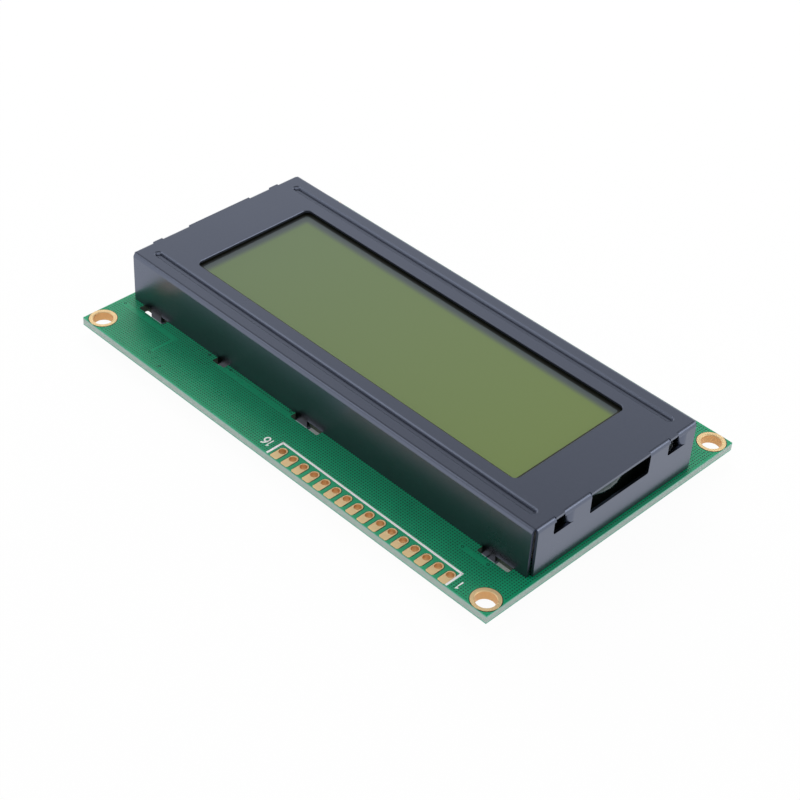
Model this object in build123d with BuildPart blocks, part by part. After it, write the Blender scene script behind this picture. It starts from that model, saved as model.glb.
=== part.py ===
from build123d import *
from math import cos, radians, sin
import os

os.makedirs("parts", exist_ok=True)

# Character LCD module: a folded steel bezel clamps a glass cell, two rubber connector strips and an LED
# backlight onto a drilled circuit board.
# +X runs along the lines of text, +Y up to the header row and +Z out of the display.
# The origin is the centre of the four mounting holes, on the board's back face.

# Circuit board
board_x = 98.0
board_y = 60.0
board_t = 1.6
plating = 0.05

# Corner mounting holes
mount_inset = 2.5
mount_bore = 3.5
mount_ring = 4.96
mount_rim = 0.12

# Header row: sixteen plated holes along the top edge, pin 1 at the left
pin_count = 16
pin_pitch = 2.54
pin_1_inset = 9.7
pin_row_inset = 2.2
pin_bore = 1.3
pad_w = 1.6
pad_edge_gap = 0.05
pad_reach = 0.9
pad_corner = 0.22
pad_end_sides = 12

# Bezel: one sheet, four folded walls, open corners
display_y = -0.2
bezel_x = 96.2
bezel_y = 39.5
bezel_h = 9.8
sheet = 0.5
bend_r = 0.8
corner_slit_x = 0.65
corner_slit_y = 0.75
end_wall_lift = 0.22

# Window and the two pressed beads that hold the glass down
window_x = 76.0
window_y = 26.4
window_r = 1.2
punch_rim = 0.1
bead_y = 16.4
bead_w = 1.4
bead_end_gap = 2.95
bead_draft = 28.0
bead_rim = 0.16

# Punched hole in each end wall; above a punched edge the face stays flat
flat_edge_inset = 0.15
end_hole_y = -0.4
end_hole_w = 14.2
end_hole_depth = 4.1
end_hole_r = 0.35

# Lanced tongues in the end walls, turned in to locate the glass
lance_y = 13.7
lance_shift = -0.1
lance_w = 3.4
lance_depth = 3.2
lance_top_r = 1.3
lance_foot_r = 0.5
lance_flat_w = 2.0
lance_flat_shift = 0.3
tongue_r = 1.2
tongue_turn = 100.0
tongue_end_gap = 0.05
tongue_play = 0.05

# Bezel tabs, and the board slots that they pass through: tab centre, and the slot's free length to its left
# and to its right
tab_w = 2.7
tab_fold = 2.4
tab_bend_r = 0.7
tab_play = 0.1
slot_w = 2.0
slot_play = 0.4
slot_corner = 0.2
tab_table = (
    (-39.65, 3.7, 0.0),
    (3.3, 3.7, 0.0),
    (23.3, 0.0, 0.0),
    (41.6, 1.9, 1.8),
)

# Glass cell
glass_drop = 1.0
glass_t = 1.1
glass_end_gap = 1.8
front_glass_side_gap = 1.0
ledge = 3.2
cell_gap = 0.1
seal_w = 1.2
seal_inset = 0.3
polariser_t = 0.2
polariser_margin_x = 3.5
polariser_margin_y = 1.8
rear_polariser_margin = 0.6
glass_chamfer = 0.12

# Drop of sealant on the cell's fill port, at the left end
port_y = 1.2
port_length = 9.0
port_bulge = 1.2
port_steps = 6

# Rubber connector strips and the rows of contact fingers under them
strip_w = 2.4
strip_gap = 0.2
strip_end_gap = 3.4
finger_pitch = 1.0
finger_w = 0.55
finger_l = 2.6

# LED backlight
led_board_t = 1.0
backlight_end_gap = 2.7
diffuser_t = 0.8
diffuser_lap = 1.6
diffuser_fit = 0.1
rim_t = 1.0
housing_corner = 0.8
led_columns = 13
led_rows = 4
led_pitch_x = 6.2
led_pitch_y = 6.2
led_x = 1.6
led_y = 0.9
led_t = 0.5
light_pin_d = 0.7
light_pin_inset = 1.8
light_pin_pitch = 10.0
light_pin_out = 1.15
light_hole = 0.9
light_pad = 2.2
solder_h = 0.85
solder_foot_d = 2.0
solder_tip_d = 1.0

# Resin domes over the controller and the four segment drivers
dome_h = 1.5
dome_steps = ((0.0, 0.0), (0.4, 0.8), (2.2, dome_h))
controller_d = 15.0
controller_place = (-14.0, 10.0)
driver_d = 12.5
driver_row_y = -8.0
driver_count = 4
driver_pad_gap = 3.25

# Chips on the back: centre x, centre y and turn of each; the top row keeps its distance from the board's edge
top_row_y = board_y / 2 - 6.0
chip_x = 2.0
chip_y = 1.25
chip_h = 0.6
chip_end = 0.4
chip_pad = 0.45
chip_solder_h = 0.42
resistor_places = (
    (8.0, 14.0, 0),
    (8.0, 11.6, 0),
    (8.0, 9.2, 0),
    (8.0, 6.8, 0),
    (8.0, 4.4, 0),
    (-27.0, 13.0, 90),
    (30.0, top_row_y, 90),
    (33.0, top_row_y, 90),
)
capacitor_places = (
    (-2.0, 14.5, 90),
    (-27.0, 8.0, 90),
    (22.0, top_row_y, 90),
)
jumper_x = 1.2
jumper_y = 1.5
jumper_gap = 0.35
jumper_places = (
    (14.0, top_row_y),
    (17.6, top_row_y),
    (38.0, top_row_y),
)

# Places that follow from the board
mount_pitch_x = board_x - 2 * mount_inset
mount_pitch_y = board_y - 2 * mount_inset
pin_row_x = pin_1_inset - board_x / 2 + pin_pitch * (pin_count - 1) / 2

# Levels, from the bezel's face down
face_z = board_t + bezel_h
sheet_z = face_z - sheet
glass_top_z = face_z - glass_drop
seal_top_z = glass_top_z - glass_t
rear_top_z = seal_top_z - cell_gap
rear_bottom_z = rear_top_z - glass_t
diffuser_top_z = rear_bottom_z - polariser_t
led_top_z = board_t + led_board_t

# Plan sizes that follow from the bezel
half_x = bezel_x / 2
half_y = bezel_y / 2
long_wall_x = bezel_x - 2 * corner_slit_x
short_wall_y = bezel_y - 2 * corner_slit_y
glass_x = bezel_x - 2 * glass_end_gap
front_glass_y = bezel_y - 2 * front_glass_side_gap
rear_glass_y = front_glass_y - 2 * ledge
backlight_x = bezel_x - 2 * backlight_end_gap
light_pin_x = backlight_x / 2 - light_pin_inset
strip_y = front_glass_y / 2 - strip_w / 2 - strip_gap
backlight_y = 2 * (strip_y - strip_w / 2 - strip_gap)
pin_row_y = board_y / 2 - pin_row_inset
slot_y = half_y - sheet - slot_play + slot_w / 2
last_driver_x = light_pin_x - light_pad / 2 - driver_pad_gap - driver_d / 2
driver_pitch = 2 * last_driver_x / (driver_count - 1)


def wall_section(width, foot_z):
    """Cross-section of the folded sheet in the current sketch: face, two bends and two walls."""
    depth = face_z - foot_z
    with Locations((0, face_z)):
        Rectangle(width, depth, align=(Align.CENTER, Align.MAX))
    with Locations((0, sheet_z)):
        Rectangle(width - 2 * sheet, depth - sheet, align=(Align.CENTER, Align.MAX), mode=Mode.SUBTRACT)


def bend_corners(sketch):
    """Round the outer and inner corners of the folds, which are the two upper rows of the section's corners."""
    foot, inner, outer = sketch.vertices().group_by(Axis.Y)
    fillet(outer, bend_r)
    fillet(inner, bend_r - sheet)


# Circuit board
with BuildPart() as circuit_board:
    with BuildSketch() as outline:
        Rectangle(board_x, board_y)
        for tab_x, free_left, free_right in tab_table:
            slot_x = tab_x + (free_right - free_left) / 2
            slot_length = tab_w + free_left + free_right + 2 * tab_play
            with BuildSketch(mode=Mode.PRIVATE) as slot:
                Rectangle(slot_length, slot_w)
                chamfer(slot.vertices(), slot_corner)
            with Locations((slot_x, slot_y), (slot_x, -slot_y)):
                add(slot.sketch, mode=Mode.SUBTRACT)
    extrude(amount=board_t)
    with Locations(Plane.XY.offset(board_t)):
        with GridLocations(mount_pitch_x, mount_pitch_y, 2, 2):
            Hole(mount_bore / 2 + plating)
    chamfer(circuit_board.edges().filter_by(GeomType.CIRCLE).group_by(Axis.Z)[-1], mount_rim)
    with Locations(Plane.XY.offset(board_t)):
        with Locations((pin_row_x, pin_row_y)):
            with GridLocations(pin_pitch, pin_pitch, pin_count, 1):
                Hole(pin_bore / 2 + plating)
        with Locations((light_pin_x, display_y)):
            with GridLocations(light_pin_pitch, light_pin_pitch, 1, 2):
                Hole(light_hole / 2)
circuit_board.part.label = "circuit_board"
export_step(circuit_board.part, "parts/circuit_board.step")

# One plated ring: a flange on each face and the barrel through the board, turned about the hole's axis
bore_r = mount_bore / 2
drill_r = bore_r + plating
with BuildPart() as one_ring:
    with BuildSketch(Plane.XZ):
        with BuildLine():
            Polyline(
                (mount_ring / 2, board_t),
                (mount_ring / 2, board_t + plating),
                (bore_r + mount_rim, board_t + plating),
                (bore_r, board_t + plating - mount_rim),
                (bore_r, -plating),
                (mount_ring / 2, -plating),
                (mount_ring / 2, 0),
                (drill_r, 0),
                (drill_r, board_t - mount_rim),
                (drill_r + mount_rim, board_t),
                close=True,
            )
        make_face()
    revolve(axis=Axis.Z)

with BuildPart() as mounting_rings:
    with GridLocations(mount_pitch_x, mount_pitch_y, 2, 2):
        add(one_ring.part)
mounting_rings.part.label = "mounting_rings"
export_step(mounting_rings.part, "parts/mounting_rings.step")

# Header pads: the same pad on both faces, joined by the plated barrel
pad_outer = pin_row_inset - pad_edge_gap
pad_straight = pad_outer + pad_reach - pad_w / 2
pad_centre = pad_outer - pad_straight / 2
with BuildPart() as header_pads:
    for level in (board_t, -plating):
        with BuildSketch(Plane.XY.offset(level)) as pads:
            with Locations((pin_row_x, pin_row_y)):
                with GridLocations(pin_pitch, pin_pitch, pin_count, 1):
                    with Locations((0, pad_centre)):
                        Rectangle(pad_w, pad_straight)
            chamfer(pads.vertices().group_by(Axis.Y)[-1], pad_corner)
            with Locations((pin_row_x, pin_row_y)):
                with GridLocations(pin_pitch, pin_pitch, pin_count, 1):
                    with Locations((0, pad_w / 2 - pad_reach)):
                        half_side = 180 / pad_end_sides
                        RegularPolygon(pad_w / 2, pad_end_sides, major_radius=False, rotation=half_side)
        extrude(amount=plating)
    with BuildSketch(Plane.XY):
        with Locations((pin_row_x, pin_row_y)):
            with GridLocations(pin_pitch, pin_pitch, pin_count, 1):
                Circle(pin_bore / 2 + plating)
    extrude(amount=board_t)
    with BuildSketch(Plane.XY.offset(-plating)):
        with Locations((pin_row_x, pin_row_y)):
            with GridLocations(pin_pitch, pin_pitch, pin_count, 1):
                Circle(pin_bore / 2)
    extrude(amount=board_t + 2 * plating, mode=Mode.SUBTRACT)
header_pads.part.label = "header_pads"
export_step(header_pads.part, "parts/header_pads.step")

# Bezel
with BuildPart() as bezel:
    # End walls and their bends, then the long walls, which share the flat face
    across = Plane(origin=(0, display_y, 0), x_dir=(1, 0, 0), z_dir=(0, -1, 0))
    with BuildSketch(across) as end_section:
        wall_section(bezel_x, board_t + end_wall_lift)
        bend_corners(end_section)
    extrude(amount=short_wall_y / 2, both=True)
    along = Plane(origin=(0, display_y, 0), x_dir=(0, 1, 0), z_dir=(1, 0, 0))
    with BuildSketch(along) as side_section:
        wall_section(bezel_y, board_t)
        bend_corners(side_section)
    extrude(amount=long_wall_x / 2, both=True)

    # Beads: the sheet is pressed down until it meets the glass
    bead_x = bezel_x - 2 * bead_end_gap
    for side in (-1, 1):
        with BuildSketch(Plane.XY.offset(sheet_z)):
            with Locations((0, display_y + side * bead_y)):
                SlotOverall(bead_x + sheet, bead_w + sheet)
        extrude(amount=-(sheet_z - glass_top_z), taper=bead_draft)
    for side in (-1, 1):
        with BuildSketch(Plane.XY.offset(face_z)):
            with Locations((0, display_y + side * bead_y)):
                SlotOverall(bead_x, bead_w)
        extrude(amount=-(sheet_z - glass_top_z), taper=bead_draft, mode=Mode.SUBTRACT)
    face_edges = bezel.faces().sort_by(Axis.Z)[-1].inner_wires().edges()
    chamfer(face_edges, bead_rim)

    # Window
    with BuildSketch(Plane.XY.offset(face_z)):
        with Locations((0, display_y)):
            RectangleRounded(window_x, window_y, window_r)
    extrude(amount=-sheet, mode=Mode.SUBTRACT)
    between_beads = bezel.faces().sort_by(Axis.Z)[-1].inner_wires().sort_by(Axis.Y)[1]
    chamfer(between_beads.edges(), punch_rim)

    for side in (-1, 1):
        # Holes punched before folding: they cut the wall and the bend
        end_plane = Plane(origin=(side * (half_x - bend_r), display_y, face_z), x_dir=(0, 1, 0), z_dir=(1, 0, 0))
        with BuildSketch(end_plane) as punched:
            with Locations((end_hole_y, sheet)):
                Rectangle(end_hole_w, end_hole_depth + sheet, align=(Align.CENTER, Align.MAX))
            fillet(punched.vertices().group_by(Axis.Y)[0], end_hole_r)
        extrude(amount=side * 2 * bend_r, mode=Mode.SUBTRACT)
        for row in (-1, 1):
            lance_mid = row * lance_y + lance_shift
            with BuildSketch(end_plane) as lanced:
                with Locations((lance_mid - tongue_r / 2, -bend_r)):
                    Rectangle(lance_w + tongue_r, lance_depth - bend_r, align=(Align.CENTER, Align.MAX))
                foot_corner, top_corner = lanced.vertices().group_by(Axis.X)[-1].sort_by(Axis.Y)
                fillet(foot_corner, lance_foot_r)
                fillet(top_corner, lance_top_r)
                with Locations((lance_mid + lance_flat_shift, sheet)):
                    Rectangle(lance_flat_w, lance_depth / 2 + sheet, align=(Align.CENTER, Align.MAX))
            extrude(amount=side * 2 * bend_r, mode=Mode.SUBTRACT)

        # The face runs on flat over each hole
        flat_x = bend_r - flat_edge_inset
        with BuildSketch(Plane.XY.offset(sheet_z)):
            with Locations((side * (half_x - bend_r + flat_x / 2), display_y + end_hole_y)):
                Rectangle(flat_x, end_hole_w)
            for row in (-1, 1):
                flat_y = display_y + row * lance_y + lance_shift + lance_flat_shift
                with Locations((side * (half_x - bend_r + flat_x / 2), flat_y)):
                    Rectangle(flat_x, lance_flat_w)
        extrude(amount=sheet)

        # Tongue turned in from one side of each lanced hole, clear of its upper and lower edges
        tongue_top = face_z - bend_r - tongue_play
        tongue_floor = face_z - lance_depth + tongue_play
        tongue_mid_r = tongue_r - sheet / 2
        turned = radians(tongue_turn)
        curl_depth = sheet / 2 + tongue_mid_r * (1 - cos(turned)) + sheet / 2 * abs(cos(turned))
        tongue_reach = (glass_end_gap - tongue_end_gap - curl_depth) / sin(turned)
        for row in (-1, 1):
            hinge_y = display_y + row * lance_y + lance_shift - lance_w / 2 - tongue_r
            mid_z = (tongue_top + tongue_floor) / 2
            with BuildLine(Plane.XY.offset(mid_z)) as path:
                wall_mid = side * (half_x - sheet / 2)
                root = Line((wall_mid, hinge_y - sheet / 2), (wall_mid, hinge_y))
                curl = JernArc(root @ 1, root % 1, tongue_mid_r, side * tongue_turn)
                PolarLine(curl @ 1, tongue_reach, direction=curl % 1)
            start = Plane(origin=path.line @ 0, x_dir=(0, 0, 1), z_dir=path.line % 0)
            with BuildSketch(start):
                Rectangle(tongue_top - tongue_floor, sheet)
            sweep(path=path.line)

    # Tabs: down through the slots, then folded flat onto the board's back
    fold_r = tab_bend_r - sheet / 2
    for tab_x, free_left, free_right in tab_table:
        for side in (-1, 1):
            tab_plane = Plane(origin=(tab_x, display_y, 0), x_dir=(0, side, 0), z_dir=(side, 0, 0))
            wall_mid = half_y - sheet / 2
            with BuildLine(tab_plane) as path:
                drop = Line((wall_mid, board_t + sheet), (wall_mid, fold_r - sheet / 2))
                turn = JernArc(drop @ 1, drop % 1, fold_r, -90)
                PolarLine(turn @ 1, tab_fold, direction=turn % 1)
            start = Plane(origin=path.line @ 0, x_dir=(1, 0, 0), z_dir=path.line % 0)
            with BuildSketch(start):
                Rectangle(tab_w, sheet)
            sweep(path=path.line)
bezel.part.label = "bezel"
export_step(bezel.part, "parts/bezel.step")


def plate(width, depth, bottom_z, thickness, mode=Mode.ADD):
    """Rectangular plate on the display's centre."""
    with BuildSketch(Plane.XY.offset(bottom_z)) as outline:
        with Locations((0, display_y)):
            Rectangle(width, depth)
    extrude(outline.sketch, amount=thickness, mode=mode)


# Front polariser
with BuildPart() as front_polariser:
    plate(window_x + 2 * polariser_margin_x, window_y + 2 * polariser_margin_y, glass_top_z, polariser_t)
front_polariser.part.label = "front_polariser"
export_step(front_polariser.part, "parts/front_polariser.step")

# Front glass, wider than the rear one so that its contact ledges stand over the connector strips
with BuildPart() as front_glass:
    plate(glass_x, front_glass_y, seal_top_z, glass_t)
    chamfer(front_glass.faces().sort_by(Axis.Z)[-1].edges(), glass_chamfer)
front_glass.part.label = "front_glass"
export_step(front_glass.part, "parts/front_glass.step")

# Perimeter seal between the two glasses
with BuildPart() as perimeter_seal:
    seal_x = glass_x - 2 * seal_inset
    seal_y = rear_glass_y - 2 * seal_inset
    plate(seal_x, seal_y, rear_top_z, cell_gap)
    plate(seal_x - 2 * seal_w, seal_y - 2 * seal_w, rear_top_z, cell_gap, mode=Mode.SUBTRACT)
perimeter_seal.part.label = "perimeter_seal"
export_step(perimeter_seal.part, "parts/perimeter_seal.step")

# Rear glass
with BuildPart() as rear_glass:
    plate(glass_x, rear_glass_y, rear_bottom_z, glass_t)
    chamfer(rear_glass.faces().sort_by(Axis.Z)[0].edges(), glass_chamfer)
rear_glass.part.label = "rear_glass"
export_step(rear_glass.part, "parts/rear_glass.step")

# Sealant drop over the fill port: a half spindle on the glass end
port_x = -glass_x / 2
port_z = rear_top_z + cell_gap / 2
with BuildPart() as port_seal:
    with BuildSketch(Plane.XY.offset(port_z)):
        with BuildLine():
            low = (port_x, display_y + port_y - port_length / 2)
            high = (port_x, display_y + port_y + port_length / 2)
            bulge = ThreePointArc(low, (port_x - port_bulge, display_y + port_y), high, mode=Mode.PRIVATE)
            Polyline([bulge @ (step / port_steps) for step in range(port_steps + 1)], close=True)
        make_face()
    revolve(axis=Axis((port_x, 0, port_z), (0, 1, 0)))
    split(bisect_by=Plane(origin=(port_x, 0, port_z), z_dir=(-1, 0, 0)))
port_seal.part.label = "port_seal"
export_step(port_seal.part, "parts/port_seal.step")

# Rear polariser, stuck under the rear glass
light_x = backlight_x - 2 * rim_t
light_y = backlight_y - 2 * rim_t
with BuildPart() as rear_polariser:
    plate(light_x - 2 * rear_polariser_margin, light_y - 2 * rear_polariser_margin, diffuser_top_z, polariser_t)
rear_polariser.part.label = "rear_polariser"
export_step(rear_polariser.part, "parts/rear_polariser.step")

# Connector strips stand on their finger rows and press up on the glass ledges
strip_x = bezel_x - 2 * strip_end_gap
finger_count = int((strip_x - finger_w) / finger_pitch)
for name, side in (("header_side", 1), ("far_side", -1)):
    with BuildPart() as fingers:
        with BuildSketch(Plane.XY.offset(board_t)):
            with Locations((0, display_y + side * strip_y)):
                with GridLocations(finger_pitch, 1, finger_count, 1):
                    Rectangle(finger_w, finger_l)
        extrude(amount=plating)
    fingers.part.label = "contact_fingers_" + name
    export_step(fingers.part, "parts/contact_fingers_" + name + ".step")
    with BuildPart() as strip:
        with BuildSketch(Plane.XY.offset(board_t + plating)):
            with Locations((0, display_y + side * strip_y)):
                Rectangle(strip_x, strip_w)
        extrude(amount=seal_top_z - board_t - plating)
    strip.part.label = "connector_strip_" + name
    export_step(strip.part, "parts/connector_strip_" + name + ".step")

# Backlight: board, LED chips, white frame and diffuser
with BuildPart() as backlight_board:
    plate(backlight_x, backlight_y, board_t, led_board_t)
    with Locations(Plane(origin=(light_pin_x, display_y, led_top_z))):
        with GridLocations(light_pin_pitch, light_pin_pitch, 1, 2):
            Hole(light_pin_d / 2)
backlight_board.part.label = "backlight_board"
export_step(backlight_board.part, "parts/backlight_board.step")

with BuildPart() as backlight_leds:
    with BuildSketch(Plane.XY.offset(led_top_z)):
        with Locations((0, display_y)):
            with GridLocations(led_pitch_x, led_pitch_y, led_columns, led_rows):
                Rectangle(led_x, led_y)
    extrude(amount=led_t)
backlight_leds.part.label = "backlight_leds"
export_step(backlight_leds.part, "parts/backlight_leds.step")

with BuildPart() as backlight_housing:
    plate(backlight_x, backlight_y, led_top_z, rear_bottom_z - led_top_z)
    fillet(backlight_housing.edges().filter_by(Axis.Z), housing_corner)
    opening_x = light_x - 2 * diffuser_lap
    opening_y = light_y - 2 * diffuser_lap
    diffuser_bottom_z = diffuser_top_z - diffuser_t
    plate(opening_x, opening_y, led_top_z, diffuser_bottom_z - led_top_z, mode=Mode.SUBTRACT)
    plate(light_x, light_y, diffuser_bottom_z, rear_bottom_z - diffuser_bottom_z, mode=Mode.SUBTRACT)
backlight_housing.part.label = "backlight_housing"
export_step(backlight_housing.part, "parts/backlight_housing.step")

with BuildPart() as backlight_diffuser:
    plate(light_x - 2 * diffuser_fit, light_y - 2 * diffuser_fit, diffuser_bottom_z, diffuser_t)
backlight_diffuser.part.label = "backlight_diffuser"
export_step(backlight_diffuser.part, "parts/backlight_diffuser.step")

# Backlight pins, the pads round their holes and the solder on them
with BuildPart() as backlight_pins:
    with Locations(Plane(origin=(light_pin_x, display_y, led_top_z))):
        with GridLocations(light_pin_pitch, light_pin_pitch, 1, 2):
            pin_length = led_top_z + light_pin_out
            Cylinder(light_pin_d / 2, pin_length, align=(Align.CENTER, Align.CENTER, Align.MAX))
backlight_pins.part.label = "backlight_pins"
export_step(backlight_pins.part, "parts/backlight_pins.step")

with BuildPart() as backlight_pads:
    with BuildSketch(Plane.XY.offset(-plating)):
        with Locations((light_pin_x, display_y)):
            with GridLocations(light_pin_pitch, light_pin_pitch, 1, 2):
                Circle(light_pad / 2)
                Circle(light_hole / 2, mode=Mode.SUBTRACT)
    extrude(amount=plating)
backlight_pads.part.label = "backlight_pads"
export_step(backlight_pads.part, "parts/backlight_pads.step")

with BuildPart() as one_joint:
    with BuildSketch(Plane.XZ):
        with BuildLine():
            Polyline(
                (light_pin_d / 2, -plating),
                (solder_foot_d / 2, -plating),
                (solder_tip_d / 2, -plating - solder_h),
                (light_pin_d / 2, -plating - solder_h),
                close=True,
            )
        make_face()
    revolve(axis=Axis.Z)

with BuildPart() as backlight_solder:
    with Locations((light_pin_x, display_y)):
        with GridLocations(light_pin_pitch, light_pin_pitch, 1, 2):
            add(one_joint.part)
backlight_solder.part.label = "backlight_solder"
export_step(backlight_solder.part, "parts/backlight_solder.step")

# Resin domes: a steep rim, a gentler shoulder and a flat crown
domes = [("controller_dome", controller_d, controller_place)]
for number in range(driver_count):
    place_x = number * driver_pitch - last_driver_x
    domes.append(("driver_dome_" + str(number + 1), driver_d, (place_x, driver_row_y)))
for name, diameter, place in domes:
    with BuildPart() as dome:
        section = Plane(origin=(place[0], place[1], 0), x_dir=(1, 0, 0), z_dir=(0, -1, 0))
        with BuildSketch(section):
            with BuildLine():
                slope = [(diameter / 2 - inset, -drop) for inset, drop in dome_steps]
                Polyline((0, 0), *slope, (0, -dome_h), close=True)
            make_face()
        revolve(axis=Axis((place[0], place[1], 0), (0, 0, 1)))
    dome.part.label = name
    export_step(dome.part, "parts/" + name + ".step")


# Chips: a ceramic body between two soldered end caps
for name, places in (("resistor", resistor_places), ("capacitor", capacitor_places)):
    with BuildPart() as bodies:
        for place_x, place_y, turn in places:
            with BuildSketch(Plane.XY.offset(-chip_h)):
                with Locations(Location((place_x, place_y, 0), (0, 0, turn))):
                    Rectangle(chip_x - 2 * chip_end, chip_y)
        extrude(amount=chip_h - plating)
    bodies.part.label = name + "_bodies"
    export_step(bodies.part, "parts/" + name + "_bodies.step")
    with BuildPart() as ends:
        for place_x, place_y, turn in places:
            for side in (0, 180):
                chip = Plane(origin=(place_x, place_y, 0)).rotated((0, 0, turn + side))
                cap = Plane(origin=chip.origin, x_dir=chip.x_dir, z_dir=-chip.y_dir)
                with BuildSketch(cap):
                    with BuildLine():
                        Polyline(
                            (chip_x / 2 - chip_end, 0),
                            (chip_x / 2 + chip_pad, 0),
                            (chip_x / 2 + chip_pad, -plating),
                            (chip_x / 2, -chip_solder_h),
                            (chip_x / 2, -chip_h),
                            (chip_x / 2 - chip_end, -chip_h),
                            close=True,
                        )
                    make_face()
                extrude(amount=chip_y / 2, both=True)
    ends.part.label = name + "_ends"
    export_step(ends.part, "parts/" + name + "_ends.step")

# Jumper pads, in pairs
with BuildPart() as jumper_pads:
    with BuildSketch(Plane.XY.offset(-plating)):
        for place_x, place_y in jumper_places:
            with Locations((place_x, place_y)):
                with GridLocations(jumper_x + jumper_gap, 1, 2, 1):
                    Rectangle(jumper_x, jumper_y)
    extrude(amount=plating)
jumper_pads.part.label = "jumper_pads"
export_step(jumper_pads.part, "parts/jumper_pads.step")
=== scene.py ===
import math

import bpy
from bpy.props import FloatProperty, FloatVectorProperty, IntProperty, PointerProperty
from mathutils import Matrix, Vector


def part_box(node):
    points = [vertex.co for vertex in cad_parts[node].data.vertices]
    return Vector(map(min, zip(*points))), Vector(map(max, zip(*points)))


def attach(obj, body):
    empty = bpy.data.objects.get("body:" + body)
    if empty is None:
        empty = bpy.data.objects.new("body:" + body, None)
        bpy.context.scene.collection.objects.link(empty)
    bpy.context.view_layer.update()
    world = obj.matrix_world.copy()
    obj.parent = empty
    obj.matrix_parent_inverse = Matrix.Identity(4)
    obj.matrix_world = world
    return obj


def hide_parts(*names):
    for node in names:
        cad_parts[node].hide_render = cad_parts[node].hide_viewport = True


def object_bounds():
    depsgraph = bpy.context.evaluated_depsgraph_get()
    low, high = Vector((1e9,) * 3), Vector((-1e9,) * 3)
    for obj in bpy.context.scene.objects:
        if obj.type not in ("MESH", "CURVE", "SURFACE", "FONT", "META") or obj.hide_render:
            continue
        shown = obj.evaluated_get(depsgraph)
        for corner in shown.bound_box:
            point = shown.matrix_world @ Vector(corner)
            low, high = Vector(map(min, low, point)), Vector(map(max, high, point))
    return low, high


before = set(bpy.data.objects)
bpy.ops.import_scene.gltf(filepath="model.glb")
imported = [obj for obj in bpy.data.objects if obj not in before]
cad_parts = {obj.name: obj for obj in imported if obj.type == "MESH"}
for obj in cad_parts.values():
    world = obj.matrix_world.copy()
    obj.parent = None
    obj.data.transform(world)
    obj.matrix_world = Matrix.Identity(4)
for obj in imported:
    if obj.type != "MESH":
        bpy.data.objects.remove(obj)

bl_info = {
    "name": "Character LCD module",
    "version": (1, 0, 0),
    "blender": (4, 5, 0),
    "location": "View3D > Sidebar > LCD module",
    "description": "Finishes, printed board detail, resin domes and studio for a character LCD module",
    "category": "Object",
}

MM = 0.001
CAD_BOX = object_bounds()
BOARD_LOW, BOARD_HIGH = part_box("circuit_board")
BEZEL_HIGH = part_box("bezel")[1]
PADS_LOW, PADS_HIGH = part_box("header_pads")
FILM_LOW, FILM_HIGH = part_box("front_polariser")
HOUSING_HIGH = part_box("backlight_housing")[1]
RING_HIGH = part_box("mounting_rings")[1]
LIGHT_PINS_LOW, LIGHT_PINS_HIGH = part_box("backlight_pins")


def mm(*values):
    """Millimetres as a tuple of metres."""
    return tuple(value * MM for value in values)


# Places on the frame that the finishes and the printed detail keep to
RING_REACH = 2.48 * MM
RING_CENTRE = (RING_HIGH.x - RING_REACH, RING_HIGH.y - RING_REACH)
PAD_REACH = 0.8 * MM
PADS_MIDDLE_X = (PADS_LOW.x + PADS_HIGH.x) / 2
PADS_HALF_X = (PADS_HIGH.x - PADS_LOW.x) / 2 + 0.25 * MM
SLOT_END = (BEZEL_HIGH.x - 1.0 * MM, BEZEL_HIGH.y + 3.0 * MM)
TAB_PLACES = mm(-39.65, 3.3, 23.3, 41.6)
HOLE_INSET = 2.2 * MM
DRIVERS = ("driver_dome_1", "driver_dome_2", "driver_dome_3", "driver_dome_4")
DOMES = ("controller_dome", *DRIVERS)

# Plain copper strips in the hatch of the front face: from x, to x, at y
FRONT_STRIPS = (mm(4.5, 23.0, 20.95), mm(-41.6, -36.2, 21.8), mm(33.6, 47.5, 21.8))

# Strip that joins the header row to the last of them
FRONT_DROP = (mm(33.65, 27.35), mm(33.65, 21.8))

# Masked vias on the front face
FRONT_VIAS = (
    mm(-41.58, 21.8), mm(-36.2, 21.85), mm(33.65, 27.35), mm(47.5, 21.8),
    mm(5.6, 19.8), mm(20.55, 20.15), mm(26.15, 20.15), mm(29.45, 28.65),
)

# Chips that lie along the board and chips that stand across it, on the back
LYING_CHIPS = (mm(8.0, 14.0), mm(8.0, 11.6), mm(8.0, 9.2), mm(8.0, 6.8), mm(8.0, 4.4))
STANDING_CHIPS = (
    mm(-27.0, 13.0), mm(30.0, 24.0), mm(33.0, 24.0), mm(-2.0, 14.5), mm(-27.0, 8.0), mm(22.0, 24.0),
)

# Supply tracks from jumper to jumper along the header side of the back
JUMPER_LINKS = (
    (mm(14.8, 24.0), mm(16.8, 24.0)),
    (mm(18.4, 24.0), mm(19.5, 25.4), mm(22.0, 25.4)),
    (mm(22.0, 25.6), mm(26.0, 26.6), mm(30.0, 26.6), mm(30.0, 25.2)),
    (mm(30.0, 22.8), mm(31.5, 21.9), mm(33.0, 22.8)),
    (mm(33.0, 25.2), mm(34.6, 26.2), mm(37.2, 26.2), mm(37.2, 24.2)),
)

# Profile of a resin dome, from rim to crown: inset from its edge in millimetres, and share of its depth
DOME_PROFILE = ((0.0, 0.0), (0.12, 0.28), (0.75, 0.62), (2.2, 0.88), (4.2, 0.985))

# Waves of a dome's rim: share of the radius, waves in a full turn, and shift from one dome to the next
DOME_WAVES = ((0.006, 2, 1.0), (0.004, 3, 2.0), (0.002, 5, 3.0))

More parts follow.
